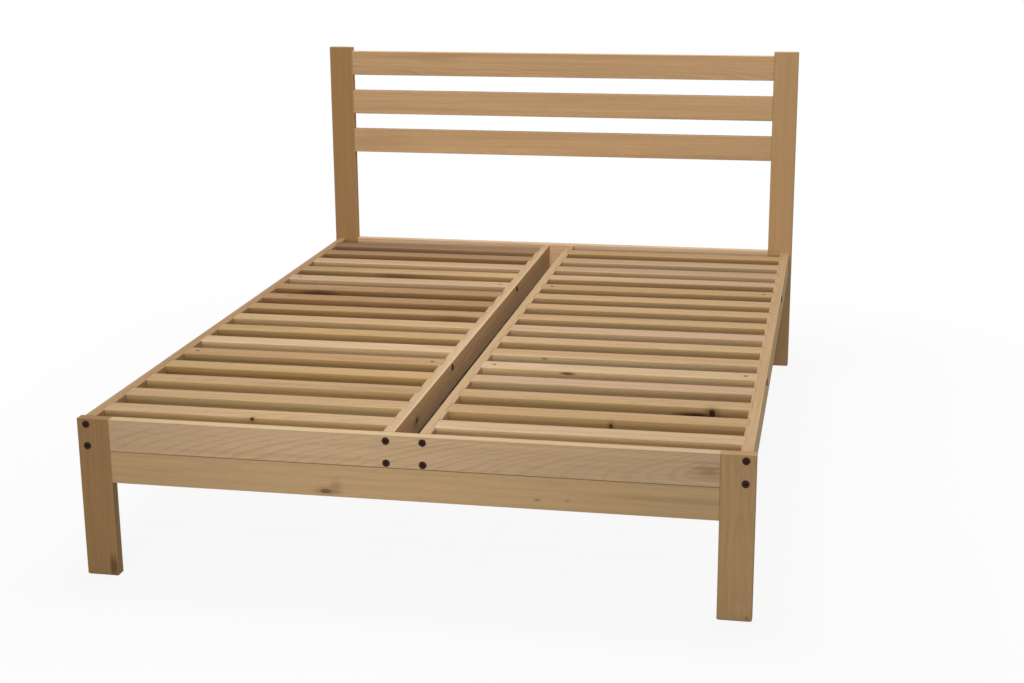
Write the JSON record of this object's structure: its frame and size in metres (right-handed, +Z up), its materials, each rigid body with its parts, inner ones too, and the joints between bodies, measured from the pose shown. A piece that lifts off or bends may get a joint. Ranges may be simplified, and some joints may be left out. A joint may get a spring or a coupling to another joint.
{
  "type": "platform bed",
  "caption": "Queen platform bed in plain wood: two slatted half decks bolted between a low foot frame and a rail headboard.",
  "frame": {"origin": "on the floor, under the middle of the bed", "axes": "+Z up, +Y along the bed from the foot end to the head end, +X across the bed, to the right as seen from the foot end"},
  "size_m": [1.524, 2.0568, 1.018],
  "materials": {
    "poplar_leg": "planed, unfinished",
    "poplar_board": "planed, unfinished",
    "poplar_rail": "planed, unfinished",
    "poplar_slat": "planed, unfinished",
    "bolt_bronze": "dark bronze plating",
    "nut_steel": "zinc plating",
    "dowel_beech": "turned, unfinished"
  },
  "bodies": {
    "root": {"foot_leg_left": "poplar_leg", "foot_leg_right": "poplar_leg", "head_post_left": "poplar_leg", "head_post_right": "poplar_leg", "foot_board_upper": "poplar_board", "foot_board_lower": "poplar_board", "head_deck_board": "poplar_board", "head_rail_top": "poplar_board", "head_rail_middle": "poplar_board", "head_rail_lower": "poplar_board", "rail_left_outer": "poplar_rail", "rail_left_inner": "poplar_rail", "rail_right_inner": "poplar_rail", "rail_right_outer": "poplar_rail", "slat_left_01": "poplar_slat", "slat_left_02": "poplar_slat", "slat_left_03": "poplar_slat", "slat_left_04": "poplar_slat", "slat_left_05": "poplar_slat", "slat_left_06": "poplar_slat", "slat_left_07": "poplar_slat", "slat_left_08": "poplar_slat", "slat_left_09": "poplar_slat", "slat_left_10": "poplar_slat", "slat_left_11": "poplar_slat", "slat_left_12": "poplar_slat", "slat_left_13": "poplar_slat", "slat_left_14": "poplar_slat", "slat_left_15": "poplar_slat", "slat_left_16": "poplar_slat", "slat_right_01": "poplar_slat", "slat_right_02": "poplar_slat", "slat_right_03": "poplar_slat", "slat_right_04": "poplar_slat", "slat_right_05": "poplar_slat", "slat_right_06": "poplar_slat", "slat_right_07": "poplar_slat", "slat_right_08": "poplar_slat", "slat_right_09": "poplar_slat", "slat_right_10": "poplar_slat", "slat_right_11": "poplar_slat", "slat_right_12": "poplar_slat", "slat_right_13": "poplar_slat", "slat_right_14": "poplar_slat", "slat_right_15": "poplar_slat", "slat_right_16": "poplar_slat", "foot_bolts": "bolt_bronze", "head_bolts": "bolt_bronze", "tie_bolts": "bolt_bronze", "foot_barrel_nuts": "nut_steel", "head_barrel_nuts": "nut_steel", "tie_barrel_nuts": "nut_steel", "foot_dowels": "dowel_beech", "head_dowels": "dowel_beech"}
  },
  "joints": []
}
